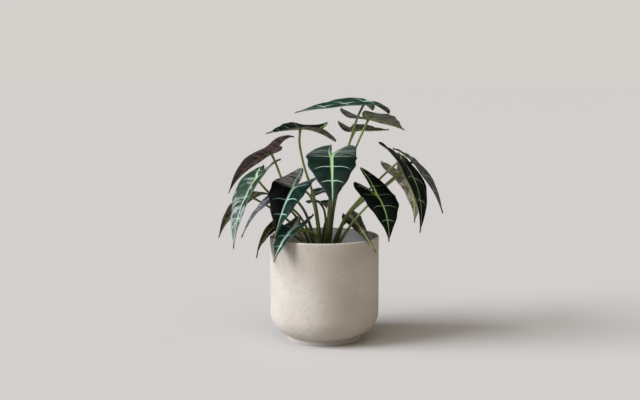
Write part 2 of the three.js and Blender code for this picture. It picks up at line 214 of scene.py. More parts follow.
# Reads the leaf's own maps: "Course" holds (across, along) and "Ribs" holds (way off the main rib, along)
def makeVeinPattern(size):
    group, given, made = newGroup(
        "leafVeins",
        {"Course": None, "Ribs": None, "Main Width": 0.013, "Side Width": 0.0055},
        ("Main", "Side", "Halo", "Margin", "Fine Veins", "Junction"),
    )
    course = separate(group, given["Course"])
    across, along = mathNode(group, "ABSOLUTE", course[0]), course[1]
    offRib = mathNode(group, "ABSOLUTE", separate(group, given["Ribs"])[0])

    # the main rib narrows towards the drip tip and into the lobes
    taper = rangeNode(group, along, 0.0, 1.0, *size["mainTaper"])
    taper = multiply(group, taper, rangeNode(group, along, size["lobeEnd"], 0.0, size["lobeTaper"], 1.0))
    mainEdge = multiply(group, given["Main Width"], taper)
    main = oneMinus(group, rangeNode(group, offRib, mainEdge, multiply(group, mainEdge, size["mainFade"])))
    main = multiply(group, main, rangeNode(group, along, *size["mainEnds"], 1.0, size["mainAtTip"]))

    # side veins lie where the blade is grooved, and thin out before the margin
    wobble = makeNode(group, "ShaderNodeTexNoise", {"Vector": given["Course"], "Scale": 5.0})["Fac"]
    shift = multiply(group, mathNode(group, "SUBTRACT", wobble, 0.5), size["wobble"])
    offSide = mathNode(group, "PINGPONG", mathNode(group, "ADD", along, shift), veinStep / 2)
    sideEdge = multiply(group, given["Side Width"], rangeNode(group, across, 0.0, 0.95, *size["sideTaper"]))
    side = oneMinus(group, rangeNode(group, offSide, sideEdge, multiply(group, sideEdge, size["sideFade"])))
    reach = oneMinus(group, rangeNode(group, across, *size["sideEnds"]))
    reach = multiply(group, reach, oneMinus(group, rangeNode(group, along, *size["lastSide"])))

    # a soft pale zone beside the veins
    nearMain = oneMinus(group, rangeNode(group, offRib, 0.0, size["haloMain"]))
    nearSide = oneMinus(group, rangeNode(group, offSide, 0.0, size["haloSide"]))
    halo = mathNode(group, "MAXIMUM", multiply(group, nearMain, size["haloMainShare"]),
                    multiply(group, nearSide, reach))

    # net of the finest veins, stretched across the blade
    stretch = makeNode(group, "ShaderNodeMapping", {"Vector": given["Course"], "Scale": size["net"]})[0]
    net = makeNode(group, "ShaderNodeTexVoronoi", {"Vector": stretch, "Scale": 1.0}, feature="DISTANCE_TO_EDGE")
    fineVeins = oneMinus(group, rangeNode(group, net["Distance"], *size["netEdge"]))

    # the junction with the stalk, where the main ribs meet
    nearStalk = oneMinus(group, rangeNode(group, mathNode(group, "ABSOLUTE", along), 0.0, size["junctionLength"]))
    nearRib = oneMinus(group, rangeNode(group, offRib, 0.0, size["junctionWidth"]))
    feedNode(group, made, {
        "Main": main, "Side": multiply(group, side, reach), "Halo": halo,
        "Margin": rangeNode(group, across, *size["margin"]), "Fine Veins": fineVeins,
        "Junction": multiply(group, nearStalk, nearRib),
    })
    return group


speckle = makeSpeckle()
veinPattern = makeVeinPattern(veinShape)


def leafMaps(tree):
    course, ribs = (addNode(tree, "ShaderNodeUVMap", uv_map=name).outputs[0] for name in ("course", "ribs"))
    return course, ribs, objectPlace(tree)


# Feathered streaks that run with the side veins, different on each leaf
def streakNode(tree, course, place):
    stretch = makeNode(tree, "ShaderNodeMapping", {"Vector": course, "Scale": (1.1, 9.0, 1.0)})[0]
    shift = vectorNode(tree, "MULTIPLY_ADD", place, (9, 9, 9), stretch)
    streak = makeNode(tree, "ShaderNodeTexNoise", {"Vector": shift, "Scale": 1.5, "Detail": 3.5})
    return rangeNode(tree, streak["Fac"], 0.4, 0.62)


def addBump(tree, shader, height, strength, distance, under=None):
    inputs = {"Strength": strength, "Distance": distance, "Height": height}
    if under:
        inputs["Normal"] = under
    normal = makeNode(tree, "ShaderNodeBump", inputs)[0]
    feed(tree, shader.inputs["Normal"], normal)
    return normal


def setSurface(tree, shader, color, grain, look):
    rough = rangeNode(tree, grain, 0.3, 0.7, *look["rough"])
    feedNode(tree, shader, {"Base Color": color, "Roughness": rough, "Specular IOR Level": look["gloss"]})


# Upper sides: black-green with mint ribs and a thin pale margin. Right and left are as seen from the stalk towards
# the drip tip. A lobe or the tip can carry a painted sheen, silvery-grey where it would catch the light, and the
# right half can be darkened to near black by painted shade
topLooks = {
    "dark": {},
    "black": {"deep": (0.0007, 0.0022, 0.0015), "bloom": (0.0016, 0.0050, 0.0034), "halo": (0.004, 0.012, 0.006),
              "rib": (0.27, 0.39, 0.13), "side": (0.20, 0.30, 0.15), "glow": (0.32, 0.47, 0.06),
              "margin": (0.02, 0.035, 0.024), "mainWidth": 0.012, "sideWidth": 0.0042, "gloss": 0.07},
    # Painted sheen: a silvery tint on the lobes, mostly on the left one
    "sheen": {"deep": (0.0007, 0.0022, 0.0015), "bloom": (0.0016, 0.0050, 0.0034), "halo": (0.006, 0.014, 0.008),
              "rib": (0.24, 0.30, 0.16), "side": (0.20, 0.26, 0.17), "glow": (0.24, 0.33, 0.08),
              "margin": (0.08, 0.09, 0.075), "lobeSheenTint": (0.16, 0.165, 0.15), "leftLobe": 0.85,
              "rightLobe": 0.1, "mainWidth": 0.011, "sideWidth": 0.0042, "gloss": 0.02},
    # Painted sheen: a silvery tint on both lobes
    "heart": {"deep": (0.0010, 0.0055, 0.0035), "bloom": (0.0028, 0.0135, 0.0095), "lobeSheenTint": (0.125, 0.145, 0.132),
              "leftLobe": 0.9, "rightLobe": 0.9, "rib": (0.31, 0.46, 0.24)},
    "green": {"deep": (0.003, 0.013, 0.0075), "bloom": (0.008, 0.032, 0.020), "halo": (0.035, 0.085, 0.058),
              "rib": (0.34, 0.48, 0.38), "side": (0.30, 0.44, 0.35), "margin": (0.18, 0.27, 0.20),
              "gloss": 0.04},
    # Painted sheen: a grey tint on the lobes, more on the right one
    "mint": {"deep": (0.0025, 0.014, 0.008), "bloom": (0.007, 0.028, 0.018), "halo": (0.04, 0.095, 0.068),
             "rib": (0.42, 0.55, 0.46), "side": (0.28, 0.41, 0.32), "lobeSheenTint": (0.075, 0.075, 0.062),
             "leftLobe": 0.5, "rightLobe": 0.85, "margin": (0.18, 0.26, 0.20), "mainWidth": 0.034},
    # Painted shade darkens the right half to near black, and painted sheen makes the right lobe silvery
    "halfInShade": {"deep": (0.0014, 0.0075, 0.005), "bloom": (0.0055, 0.022, 0.016), "halo": (0.022, 0.055, 0.042),
              "rib": (0.33, 0.44, 0.33), "side": (0.30, 0.42, 0.33), "halfShadeTint": (0.0004, 0.0006, 0.0005),
              "rightHalfShade": 0.97, "lobeSheenTint": (0.30, 0.28, 0.28), "rightLobe": 0.9, "leftLobe": 0.12,
              "gloss": 0.06},
    # Painted sheen: towards the tip the upper side turns grey-silver
    "silver": {"deep": (0.006, 0.020, 0.0095), "bloom": (0.022, 0.050, 0.026), "halo": (0.07, 0.115, 0.075),
               "rib": (0.33, 0.43, 0.32), "side": (0.24, 0.32, 0.24), "margin": (0.17, 0.21, 0.17),
               "tipSheenTint": (0.25, 0.26, 0.25), "mainWidth": 0.012, "sideWidth": 0.005},
    "sage": {"deep": (0.014, 0.020, 0.015), "bloom": (0.048, 0.058, 0.046), "halo": (0.08, 0.095, 0.072),
             "rib": (0.27, 0.32, 0.22), "side": (0.21, 0.25, 0.17), "margin": (0.09, 0.11, 0.09)},
    # Painted sheen: the whole upper side is lavender-grey, as a glossy leaf looks at a grazing angle to the light
    "lilacSheen": {"deep": (0.035, 0.035, 0.041), "bloom": (0.130, 0.126, 0.140), "halo": (0.17, 0.17, 0.18),
              "rib": (0.30, 0.32, 0.29), "side": (0.23, 0.24, 0.24), "margin": (0.14, 0.14, 0.15)},
    "old": {"deep": (0.016, 0.015, 0.007), "bloom": (0.050, 0.044, 0.021), "halo": (0.10, 0.10, 0.042),
            "rib": (0.34, 0.35, 0.19), "side": (0.25, 0.27, 0.13), "glow": (0.30, 0.34, 0.11),
            "margin": (0.13, 0.12, 0.075)},
}
usualTop = {
    "deep": (0.0011, 0.0045, 0.0031), "bloom": (0.0034, 0.0140, 0.0102), "halo": (0.012, 0.040, 0.028),
    "rib": (0.31, 0.45, 0.25), "side": (0.27, 0.41, 0.29), "glow": (0.30, 0.46, 0.10),
    "margin": (0.06, 0.10, 0.07), "gloss": 0.13, "mainWidth": 0.015, "sideWidth": 0.0062,
    "rough": (0.33, 0.47), "halfShadeTint": (0, 0, 0), "rightHalfShade": 0.0, "fainter": 0.72, "lobeSheenTint": (0, 0, 0),
    "leftLobe": 0.0, "rightLobe": 0.0, "tipSheenTint": None,
}
# Pattern, tint and share of each layer of colour, from the lowest up
topLayers = (("Fine Veins", "halo", 0.18), ("Halo", "halo", 0.42), ("Margin", "margin", 0.6),
             ("Side", "side", 0.85), ("Main", "rib", 0.92), ("Junction", "glow", 0.7))


def makeLeafTop(name, look):
    material, tree, shader = newMaterial(name)
    course, ribs, place = leafMaps(tree)
    veins = useGroup(tree, veinPattern, {"Course": course, "Ribs": ribs, "Main Width": look["mainWidth"],
                                         "Side Width": look["sideWidth"]})
    grain = useGroup(tree, speckle, {"Place": place, "Scale": 45.0})
    streak = streakNode(tree, course, place)
    patch = multiply(tree, rangeNode(tree, grain["Broad"], 0.25, 0.6), streak)
    color = blendColor(tree, patch, look["deep"], look["bloom"])
    across, along, _ = separate(tree, course)
    # Painted sheen: a silvery tint, in streaks, where a lobe would catch the light
    if look["leftLobe"] or look["rightLobe"]:
        inLobe = rangeNode(tree, multiply(tree, along, -1.0), -0.01, 0.09)
        streaked = rangeNode(tree, streak, 0.0, 1.0, 0.25, 1.0)
        share = rangeNode(tree, across, -0.05, 0.05, look["leftLobe"], look["rightLobe"])
        color = blendColor(tree, multiply(tree, multiply(tree, inLobe, streaked), share), color, look["lobeSheenTint"])
    # Painted sheen: the upper side turns grey-silver towards the tip
    if look["tipSheenTint"]:
        nearTip = rangeNode(tree, mathNode(tree, "ADD", along, patch), 0.55, 1.2, 0.0, 0.85)
        color = blendColor(tree, nearTip, color, look["tipSheenTint"])
    for layer, tint, share in topLayers:
        mask = multiply(tree, veins[layer], share)
        if layer == "Side" and look["rightHalfShade"]:
            # painted shade: the shaded half is darkened to near black, which hides the halo, and its side veins are
            # weaker
            half = multiply(tree, rangeNode(tree, across, -0.02, 0.02), look["rightHalfShade"])
            half = multiply(tree, half, rangeNode(tree, along, -0.05, 0.0))
            color = blendColor(tree, half, color, look["halfShadeTint"])
            mask = multiply(tree, mask, oneMinus(tree, multiply(tree, half, look["fainter"])))
        color = blendColor(tree, mask, color, look[tint])
    setSurface(tree, shader, color, grain["Fine"], look)
    low = mathNode(tree, "ADD", multiply(tree, veins["Side"], 0.7), veins["Main"])
    relief = mathNode(tree, "SUBTRACT", multiply(tree, grain["Fine"], 0.25), low)
    first = addBump(tree, shader, relief, 0.5, 0.0006)
    addBump(tree, shader, oneMinus(tree, veins["Fine Veins"]), 0.22, 0.0004, first)
    return material


# Undersides: dull, from purple to olive, with raised ribs
underLooks = {
    "purple": {"deep": (0.058, 0.028, 0.035), "pale": (0.290, 0.180, 0.200), "rib": (0.17, 0.16, 0.09),
               "side": (0.14, 0.11, 0.085), "halo": (0.07, 0.045, 0.042), "margin": (0.12, 0.085, 0.085)},
    "olive": {"deep": (0.040, 0.042, 0.023), "pale": (0.310, 0.305, 0.225), "rib": (0.28, 0.32, 0.12),
              "side": (0.22, 0.25, 0.10), "halo": (0.12, 0.14, 0.06), "margin": (0.15, 0.17, 0.10)},
    "brown": {"deep": (0.014, 0.011, 0.008), "pale": (0.078, 0.066, 0.046), "rib": (0.24, 0.26, 0.08),
              "side": (0.17, 0.18, 0.065), "halo": (0.08, 0.075, 0.032), "margin": (0.09, 0.085, 0.06)},
    "pale": {"deep": (0.075, 0.052, 0.036), "pale": (0.340, 0.300, 0.235), "rib": (0.36, 0.40, 0.15),
             "side": (0.33, 0.34, 0.16), "halo": (0.22, 0.22, 0.12), "margin": (0.27, 0.25, 0.18)},
}
underUsual = {"rough": (0.48, 0.62), "gloss": 0.2}
underLayers = (("Fine Veins", "halo", 0.25), ("Halo", "halo", 0.45), ("Margin", "margin", 0.6),
               ("Side", "side", 0.75), ("Main", "rib", 0.9))


def makeLeafUnder(name, look):
    material, tree, shader = newMaterial(name)
    course, ribs, place = leafMaps(tree)
    veins = useGroup(tree, veinPattern, {"Course": course, "Ribs": ribs, "Main Width": 0.017, "Side Width": 0.008})
    grain = useGroup(tree, speckle, {"Place": place, "Scale": 38.0})
    patch = multiply(tree, rangeNode(tree, grain["Broad"], 0.3, 0.62, 0.35, 1.0), streakNode(tree, course, place))
    color = blendColor(tree, patch, look["deep"], look["pale"])
    for layer, tint, share in underLayers:
        color = blendColor(tree, multiply(tree, veins[layer], share), color, look[tint])
    setSurface(tree, shader, color, grain["Fine"], look)
    high = mathNode(tree, "ADD", multiply(tree, veins["Side"], 0.6), veins["Main"])
    relief = mathNode(tree, "ADD", multiply(tree, grain["Fine"], 0.3), high)
    first = addBump(tree, shader, relief, 0.5, 0.0007)
    addBump(tree, shader, veins["Fine Veins"], 0.2, 0.0004, first)
    return material


# Stalks: olive-lime, streaked lengthwise, darker near the soil, with pale rims on the sheaths
stalkLook = {
    "light": (0.26, 0.33, 0.085), "dark": (0.10, 0.135, 0.032), "foot": (0.030, 0.036, 0.012),
    "sheath": (0.26, 0.28, 0.16), "rough": (0.36, 0.5), "gloss": 0.5, "glowThrough": 0.08,
}


def makeStalkMaterial(name, look):
    material, tree, shader = newMaterial(name)
    along = addNode(tree, "ShaderNodeUVMap", uv_map="length").outputs[0]
    streaks = makeNode(tree, "ShaderNodeMapping", {"Vector": along, "Scale": (7, 1.5, 1)})[0]
    streak = makeNode(tree, "ShaderNodeTexNoise", {"Vector": streaks, "Scale": 3.0})["Fac"]
    grain = useGroup(tree, speckle, {"Place": objectPlace(tree), "Scale": 160.0})
    color = blendColor(tree, rangeNode(tree, streak, 0.34, 0.66), look["dark"], look["light"])
    color = blendColor(tree, rangeNode(tree, grain["Broad"], 0.58, 0.72, 0.0, 0.35), color, look["dark"])
    low = oneMinus(tree, rangeNode(tree, separate(tree, along)[1], 0.1, 0.5))
    color = blendColor(tree, multiply(tree, low, 0.75), color, look["foot"])
    rim = addNode(tree, "ShaderNodeUVMap", uv_map="sheath").outputs[0]
    color = blendColor(tree, separate(tree, rim)[0], color, look["sheath"])
    setSurface(tree, shader, color, grain["Fine"], look)
    feedNode(tree, shader, {"Subsurface Weight": look["glowThrough"], "Subsurface Radius": (0.002, 0.003, 0.001),
                            "Subsurface Scale": 0.5})
    addBump(tree, shader, streak, 0.3, 0.0005)
    return material


# Pot: fine pale stone with small pits, darkened as painted shade, and a smoother, lighter lip and foot; the inner
# wall is far paler still, as painted light
potLook = {
    # The pit colour is painted shade in the small hollows
    "pale": (0.475, 0.434, 0.378), "warm": (0.415, 0.368, 0.308), "pit": (0.24, 0.205, 0.165),
    # The colour of the inner wall is painted light, far paler than the stone
    "lip": (0.505, 0.470, 0.43), "foot": (0.50, 0.45, 0.41), "inside": (0.80, 0.785, 0.775),
    "pitScale": 330, "pitShare": 0.42, "rough": (0.68, 0.86), "gloss": 0.35,
    "lipFrom": (0.1495, 0.1515), "footTo": (0.006, 0.008),  # heights in metres
    "insideFrom": (0.06, 0.07), "insideRadius": (0.0748, 0.0755),
}


def makePotMaterial(name, look):
    material, tree, shader = newMaterial(name)
    place = objectPlace(tree)
    broad = useGroup(tree, speckle, {"Place": place, "Scale": 16.0})
    fine = useGroup(tree, speckle, {"Place": place, "Scale": 150.0, "Detail": 5.0})
    pits = makeNode(tree, "ShaderNodeTexVoronoi", {"Vector": place, "Scale": look["pitScale"]})
    few = rangeNode(tree, fine["Broad"], 0.5, 0.6)
    pit = multiply(tree, oneMinus(tree, rangeNode(tree, pits["Distance"], 0.12, 0.38)), few)
    color = blendColor(tree, rangeNode(tree, broad["Broad"], 0.3, 0.7), look["pale"], look["warm"])
    color = blendColor(tree, rangeNode(tree, fine["Fine"], 0.45, 0.75, 0.0, 0.35), color, look["warm"])
    height = separate(tree, place)[2]
    radius = vectorNode(tree, "LENGTH", vectorNode(tree, "MULTIPLY", place, (1, 1, 0)))
    # Painted light: the inner wall above the soil is made far paler than the stone, as though lit
    inside = oneMinus(tree, rangeNode(tree, radius, *look["insideRadius"]))
    inside = multiply(tree, inside, rangeNode(tree, height, *look["insideFrom"]))
    color = blendColor(tree, inside, color, look["inside"])
    color = blendColor(tree, rangeNode(tree, height, *look["lipFrom"]), color, look["lip"])
    color = blendColor(tree, oneMinus(tree, rangeNode(tree, height, *look["footTo"])), color, look["foot"])
    # Painted shade: the pits are darkened
    color = blendColor(tree, multiply(tree, pit, look["pitShare"]), color, look["pit"])
    setSurface(tree, shader, color, fine["Fine"], look)
    relief = mathNode(tree, "SUBTRACT", multiply(tree, fine["Fine"], 0.5), pit)
    first = addBump(tree, shader, relief, 0.55, 0.0009)
    addBump(tree, shader, broad["Fine"], 0.35, 0.0014, first)
    return material


# Soil: dark peat with paler flecks; the bark chips and the rootstock are lighter
soilLook = {"dark": (0.012, 0.008, 0.006), "brown": (0.06, 0.036, 0.022), "chip": (0.16, 0.10, 0.062),
            "chipShare": 0.35, "rough": (0.8, 0.98), "gloss": 0.5}
rootLook = {**soilLook, "dark": (0.05, 0.032, 0.02), "brown": (0.14, 0.10, 0.06), "chip": (0.2, 0.16, 0.1),
            "chipShare": 0.2}
chipLook = {**soilLook, "dark": (0.03, 0.018, 0.011), "brown": (0.10, 0.06, 0.036), "chipShare": 0.6}


def makeSoilMaterial(name, look):
    material, tree, shader = newMaterial(name)
    place = objectPlace(tree)
    grain = useGroup(tree, speckle, {"Place": place, "Scale": 120.0})
    flecks = makeNode(tree, "ShaderNodeTexVoronoi", {"Vector": place, "Scale": 260})
    color = blendColor(tree, rangeNode(tree, grain["Broad"], 0.35, 0.68), look["dark"], look["brown"])
    bands = mathNode(tree, "FRACT", multiply(tree, flecks["Distance"], 7.3))
    color = blendColor(tree, rangeNode(tree, bands, 0.72, 0.95, 0.0, look["chipShare"]), color, look["chip"])
    setSurface(tree, shader, color, grain["Fine"], look)
    addBump(tree, shader, grain["Fine"], 0.7, 0.0015)
    return material


leafTops = {name: makeLeafTop(f"leafTop_{name}", {**usualTop, **look}) for name, look in topLooks.items()}
leafUnders = {name: makeLeafUnder(f"leafUnder_{name}", {**underUsual, **look}) for name, look in underLooks.items()}
stalkSkin = makeStalkMaterial("stalkSkin", stalkLook)
potStone = makePotMaterial("potStone", potLook)
soilPeat = makeSoilMaterial("soilPeat", soilLook)
rootBark = makeSoilMaterial("rootBark", rootLook)
barkChip = makeSoilMaterial("barkChip", chipLook)
print("materials made")


def addObject(name, shape, materials):
    mesh = bpy.data.meshes.new(name)
    shape.to_mesh(mesh)
    shape.free()
    for material in materials:
        mesh.materials.append(material)
    made = bpy.data.objects.new(name, mesh)
    scene.collection.objects.link(made)
    return made


def finishPiece(name, shape, materials, replaced=None, smooth=True):
    piece = addObject(name, shape, materials)
    if smooth:
        piece.data.shade_smooth()
    if replaced:
        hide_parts(replaced)
    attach(piece, "root")
    return piece


def gridCell(vert, columns, rows):
    return round((vert.co.x + 1) / 2 * columns), round((vert.co.y + 1) / 2 * rows)


def setMaps(faces, first, second, maps):
    for face in faces:
        for loop in face.loops:
            loop[first].uv, loop[second].uv = maps[loop.vert]


# Leaf proportions as in the solids: lengths are shares of the blade's length, angles are degrees. Right and left
# are as seen from the stalk towards the drip tip. The places of "stalk", "tip" and "via" are in millimetres
usualLeaf = {
    "halfWidth": 0.36, "lobe": 0.36, "spread": 0.2, "sinus": 0.13, "leftLobe": 1, "rightLobe": 1,
    "taper": 1.55, "fold": 20, "curl": 30, "arch": 40, "lobeDroop": 30, "leftDroop": 1, "rightDroop": 1,
    "swing": 0, "roll": 0, "skew": 0, "wave": 0.012,
}
# Radius in millimetres of the two rings that the stalks stand on
innerRing = 6.5
outerRing = 13.5
leaves = [
    {"top": "green", "under": "olive", "stalk": (58, 0, 347), "tip": (-42, -50, 333), "roll": -5, "halfWidth": 0.33,
     "arch": 9, "fold": 8, "curl": 12, "lobe": 0.28, "lobeDroop": 65, "ring": innerRing, "angle": -25,
     "via": [(10, 5, 196), (35, 12, 281), (48, -1.5, 325)]},
    {"top": "dark", "under": "olive", "stalk": (64, 15, 322), "tip": (123, 83, 302), "roll": -5, "halfWidth": 0.34,
     "arch": 14, "fold": 13, "curl": 10, "lobe": 0.46, "rightLobe": 0.8, "lobeDroop": -28, "rightDroop": 0.6,
     "ring": innerRing, "angle": 25, "via": [(18, 10, 211), (47, 19, 282)]},
    {"top": "black", "under": "pale", "stalk": (-35, 0, 308), "tip": (-83, -33, 303), "roll": -5, "halfWidth": 0.38,
     "arch": 12, "fold": 22, "curl": 10, "lobe": 0.8, "spread": 0.18, "sinus": 0.25, "leftLobe": 1.15,
     "rightLobe": 1.1, "lobeDroop": 38, "rightDroop": -0.3, "swing": -0.1, "taper": 1.7, "ring": innerRing,
     "angle": 130, "via": [(-13, 3, 198), (-31, 1, 260), (-36, 0, 289)]},
    {"top": "dark", "under": "brown", "stalk": (46, 40, 306), "tip": (99, 78, 303), "roll": -14, "halfWidth": 0.3,
     "arch": -10, "wave": 0.025, "lobe": 0.4, "rightLobe": 0.5, "lobeDroop": -45, "rightDroop": 0.3,
     "ring": innerRing, "angle": 77, "via": [(11, 19, 195), (35, 35, 280)]},
    {"top": "dark", "under": "purple", "stalk": (-79, 20, 273), "tip": (-143, 31, 210), "roll": 12, "arch": 45,
     "leftLobe": 1.4, "rightLobe": 0.42, "lobeDroop": -50, "leftDroop": 0, "ring": outerRing, "angle": 145,
     "via": [(-27, 12, 182), (-59, 10, 227), (-72, 17, 258)]},
    {"top": "heart", "under": "brown", "stalk": (10, -40, 270), "tip": (11, -118, 211), "halfWidth": 0.35,
     "arch": 45, "fold": 8, "curl": 12, "lobe": 0.43, "spread": 0.13, "sinus": 0.12, "lobeDroop": -5,
     "swing": -0.13, "taper": 1.3, "ring": innerRing, "angle": 284, "via": [(7, -23, 200), (9, -34, 244)]},
    {"top": "sheen", "under": "brown", "stalk": (110, -15, 265), "tip": (133, -70, 166), "roll": -38,
     "halfWidth": 0.32, "arch": 52, "fold": 12, "curl": 20, "lobe": 0.32, "leftLobe": 0.55, "rightLobe": 0.85,
     "spread": 0.17, "lobeDroop": 20, "ring": outerRing, "angle": -30, "via": [(30, -19, 181), (84, -2, 239)]},
    {"top": "sage", "under": "brown", "stalk": (130, 22, 259), "tip": (171, -20, 187), "roll": -24,
     "halfWidth": 0.3, "arch": 26, "lobe": 0.3, "ring": outerRing, "angle": -3,
     "via": [(32, -12, 181), (89, 7, 226)]},
    {"top": "dark", "under": "pale", "stalk": (116, 56, 239), "tip": (138, 72, 160), "roll": -10, "halfWidth": 0.3,
     "arch": 85, "skew": -0.1, "lobeDroop": 5, "ring": outerRing, "angle": 24,
     "via": [(36, 0, 187), (94, 42, 222)]},
    {"top": "silver", "under": "brown", "stalk": (-97, -25, 238), "tip": (-126, -80, 145), "roll": 28,
     "halfWidth": 0.265, "arch": 35, "fold": 18, "curl": 10, "lobe": 0.32, "ring": outerRing, "angle": 199,
     "via": [(-43, -5, 183), (-80, -17, 217)]},
    {"top": "halfInShade", "under": "brown", "stalk": (-44, -40, 225), "tip": (-67, -103, 165), "roll": 0,
     "halfWidth": 0.33, "arch": 35, "fold": 30, "curl": 20, "lobe": 0.32, "leftLobe": 0.85, "rightLobe": 1.35,
     "rightDroop": -0.5, "swing": -0.12, "ring": innerRing, "angle": 232,
     "via": [(-17, -31, 207), (-28, -37, 222)]},
    {"top": "lilacSheen", "under": "brown", "stalk": (-74, 12, 208), "tip": (-123, 19, 145), "roll": -14,
     "halfWidth": 0.27, "arch": 35, "leftLobe": 0.5, "ring": innerRing, "angle": 180,
     "via": [(-36, 5, 180), (-60, 10, 200)]},
    {"top": "black", "under": "brown", "stalk": (74, -44, 216), "tip": (89, -88, 156), "roll": -2,
     "halfWidth": 0.33, "arch": 58, "fold": 12, "curl": 15, "lobe": 0.48, "leftLobe": 1.3, "rightLobe": 0.7,
     "lobeDroop": -45, "swing": 0.18, "skew": -0.08, "ring": outerRing, "angle": -58, "via": [(42, -34, 178)]},
    {"top": "dark", "under": "purple", "stalk": (3, 46, 213), "tip": (16, 116, 188), "halfWidth": 0.28, "lobe": 0.4,
     "rightLobe": 0.5, "ring": outerRing, "angle": 106, "via": [(1, 21, 165), (16, 32, 196)]},
    {"top": "dark", "under": "brown", "stalk": (-109, 45, 204), "tip": (-161, 55, 139), "roll": 14,
     "halfWidth": 0.32, "arch": 45, "lobe": 0.44, "leftLobe": 0.8, "lobeDroop": 70, "ring": outerRing, "angle": 172,
     "via": [(-54, 30, 170), (-88, 47, 191)]},
    {"top": "dark", "under": "purple", "stalk": (-7, 40, 197), "tip": (4, 84, 181), "halfWidth": 0.38, "arch": 30,
     "lobe": 0.6, "lobeDroop": 10, "ring": outerRing, "angle": 78, "via": [(0, 36, 184)]},
    {"top": "mint", "under": "brown", "stalk": (-42, -42, 168), "tip": (-70, -84, 127), "roll": 10,
     "halfWidth": 0.32, "arch": 35, "fold": 30, "lobe": 0.5, "rightLobe": 0.95, "lobeDroop": 0, "ring": outerRing,
     "angle": 252, "via": [(-13, -28, 158)]},
    {"top": "old", "under": "brown", "stalk": (39, 25, 176), "tip": (73, -70, 137), "roll": 30, "halfWidth": 0.108,
     "arch": 60, "lobe": 0.26, "lobeDroop": -20, "sinus": 0.08, "spread": 0.05, "ring": outerRing, "angle": 51,
     "via": [(22, 18, 158)]},
    {"top": "dark", "under": "brown", "stalk": (-72, -14, 168), "tip": (-96, -50, 127), "roll": 62,
     "halfWidth": 0.3, "arch": 40, "lobe": 0.26, "lobeDroop": 50, "ring": outerRing, "angle": 225,
     "via": [(-34, -12, 147)]},
]


def alongArc(length, startAngle, endAngle):
    turn = endAngle - startAngle
    if abs(turn) < 1e-6:
        return length * math.cos(startAngle), length * math.sin(startAngle)
    radius = length / turn
    return radius * (math.sin(endAngle) - math.sin(startAngle)), radius * (math.cos(startAngle) - math.cos(endAngle))


bladeMake = {
    "lobeRows": 12, "notchRows": 4, "bodyRows": 50, "columns": 14, "rowCrowding": 1.8, "columnCrowding": 1.15,
    "scallop": 0.035, "cushion": 0.016, "quilt": 0.0035, "thickness": 0.8, "ridge": 1.1, "mainRidge": (0.022, 0.012),
    "sideRidge": 0.014, "sideRidgeShare": 0.45, "lastSide": 0.8,
}


def lobeLength(leaf, side):
    return leaf["lobe"] * leaf["rightLobe" if side > 0 else "leftLobe"]


def outerEdge(leaf, s, lobe):
    if s < 0:
        back = min(1, -s / lobe)
        return leaf["spread"] + (leaf["halfWidth"] - leaf["spread"]) * max(0, 1 - back ** 2.4) ** 0.5
    scallop = 1 - bladeMake["scallop"] * math.cos(2 * math.pi * (s - veinSweep) / veinStep)
    return leaf["halfWidth"] * max(0, 1 - s) ** leaf["taper"] * (1 + (leaf["taper"] + 0.25) * s) * scallop


def innerEdge(leaf, s, lobe):
    if s >= -leaf["sinus"]:
        return 0
    back = min(1, (-s - leaf["sinus"]) / (lobe - leaf["sinus"]))
    return leaf["spread"] * (1 - (1 - back) ** 0.65)


# A point of the blade in the leaf's own axes, and its way off the main rib as a share of the length
def bladePoint(leaf, s, u, side):
    bend, length, lobe = math.radians(leaf["arch"]), leaf["length"], lobeLength(leaf, side)
    swept = s if s < 0 else s + veinSweep * u * u * (1 - s) * min(1, (s + 0.02) * 6)
    inner = innerEdge(leaf, swept, lobe)
    flat = inner + u * (outerEdge(leaf, swept, lobe) - inner)
    across = flat * length
    widest = leaf["halfWidth"] * length
    if swept < 0:
        behindNotch = max(0, (-swept - leaf["sinus"]) / (lobe - leaf["sinus"]))
        share = 1 + (leaf["rightDroop" if side > 0 else "leftDroop"] - 1) * behindNotch
        heading = bend / 2 + math.radians(leaf["lobeDroop"]) * share * (-swept / leaf["lobe"])
        along, rise = (-value for value in alongArc(-swept * length, bend / 2, heading))
    else:
        heading = bend * (0.5 - swept)
        along, rise = alongArc(swept * length, bend / 2, heading)
    fold = math.radians(leaf["fold"] * (1 if swept < 0 else 1 - 0.3 * swept))
    x, height = alongArc(across, fold, fold - math.radians(leaf["curl"]) * across / widest)

    # cushions between the side veins, fine unevenness, and waves that grow towards the margin
    beat = 2 * math.pi * s / veinStep
    cushion = 0.5 - 0.5 * math.cos(2 * math.pi * s / (leaf["lobe"] * 0.5) if s < 0 else beat)
    quilt = noise.noise(Vector((u * 5 * side, s * 13, leaf["number"] * 7.3)))
    between = 4 * u * (1 - u) * min(1, (1 - s) * 2)
    height += length * between * (bladeMake["cushion"] * cushion ** 0.7 + bladeMake["quilt"] * quilt)
    height += leaf["wave"] * length * math.sin(beat * 0.5 + side) * (across / widest) ** 2

    rib = flat if s >= 0 else flat - leaf["spread"] * (-s / lobe)
    x = side * x + leaf["skew"] * length * swept * (1 - swept)
    if swept < 0:
        x += leaf["swing"] * length * (swept / leaf["lobe"]) ** 2
    return Vector((x, along - height * math.sin(heading), rise + height * math.cos(heading))), rib


def leafAxes(leaf):
    origin = Vector(leaf["stalk"])
    forward = (Vector(leaf["tip"]) - origin).normalized()
    upright = (Vector((0, 0, 1)) - forward * forward.z).normalized()
    upper = Matrix.Rotation(math.radians(leaf["roll"]), 3, forward) @ upright
    right = forward.cross(upper)
    axes = Matrix((right, forward, upper)).transposed().to_4x4()
    axes.translation = origin
    return axes


